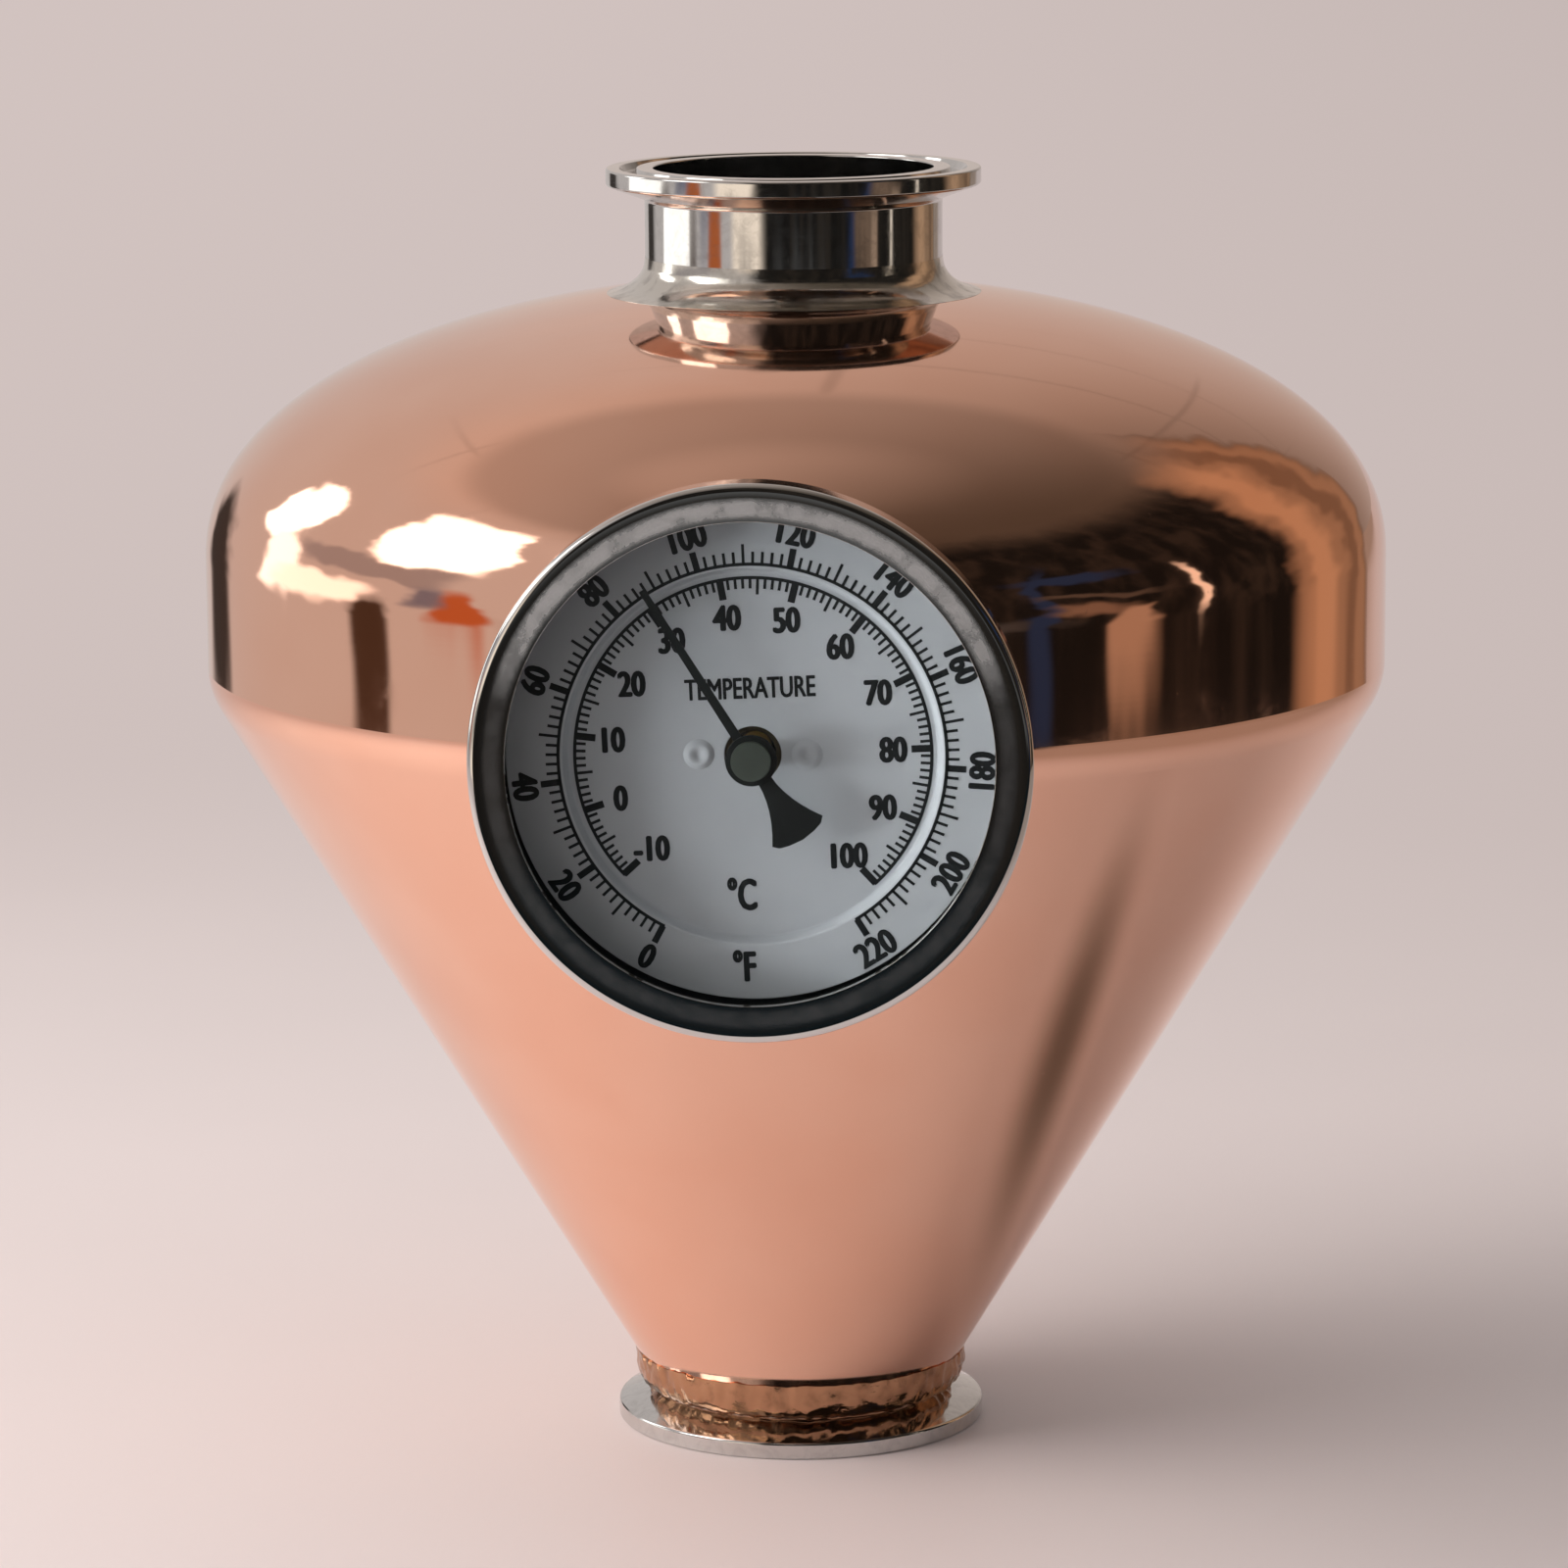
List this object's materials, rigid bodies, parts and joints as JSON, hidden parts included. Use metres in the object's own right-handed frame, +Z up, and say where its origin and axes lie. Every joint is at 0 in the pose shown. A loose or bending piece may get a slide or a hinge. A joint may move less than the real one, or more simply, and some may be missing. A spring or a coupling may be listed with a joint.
{
  "type": "copper still head with dial thermometer",
  "caption": "Spun copper onion still head on sanitary ferrules, with a dial bimetal thermometer whose pointer turns on its spindle.",
  "frame": {"origin": "centre of the foot ferrule's clamp face, on the vessel's axis", "axes": "+Z up along the vessel's axis to the neck ferrule; the dial faces -Y; +X is to the right of someone who reads the dial"},
  "size_m": [0.2024, 0.2476, 0.219],
  "materials": {
    "copper": "mirror-polished copper",
    "copper_braze": "copper-coloured weld and braze metal",
    "silver_braze": "polished silver braze",
    "stainless": "polished stainless steel",
    "brass": "plain brass",
    "bimetal": "rolled bimetal strip",
    "black_rubber": "matt black",
    "clear_glass": "clear flat glass",
    "dial_white": "white painted aluminium",
    "pointer_black": "matt black painted aluminium",
    "cap_grey": "dark grey satin"
  },
  "bodies": {
    "head": {"neck_ferrule": "stainless", "neck_braze_fillet": "silver_braze", "dome_shell": "copper", "seam_weld": "copper_braze", "cone_shell": "copper", "foot_braze_bead": "copper_braze", "foot_ferrule": "stainless", "port_boss": "stainless", "port_braze_fillet": "silver_braze", "hex_fitting": "stainless", "stem_tube": "stainless", "stem_tip_plug": "stainless", "lower_spindle_bush": "brass", "upper_spindle_bush": "brass", "bimetal_coil": "bimetal", "case_cup": "stainless", "bezel_ring": "stainless", "window_gasket": "black_rubber", "window_glass": "clear_glass", "dial_carrier": "brass", "dial_plate": "dial_white", "dial_rivet_left": "dial_white", "dial_rivet_right": "dial_white"},
    "pointer_assembly": {"spindle": "stainless", "pointer": "pointer_black", "pointer_hub": "pointer_black", "pointer_cap": "cap_grey"}
  },
  "joints": [
    {"name": "pointer_turn", "type": "hinge", "parent": "head", "child": "pointer_assembly", "pos_m": [0, -0.14, 0.1416], "axis": [0, 1, 0], "range_deg": [-120, 180], "stiffness_Nm_per_rad": 0.0002, "deforming": ["bimetal_coil"]}
  ]
}
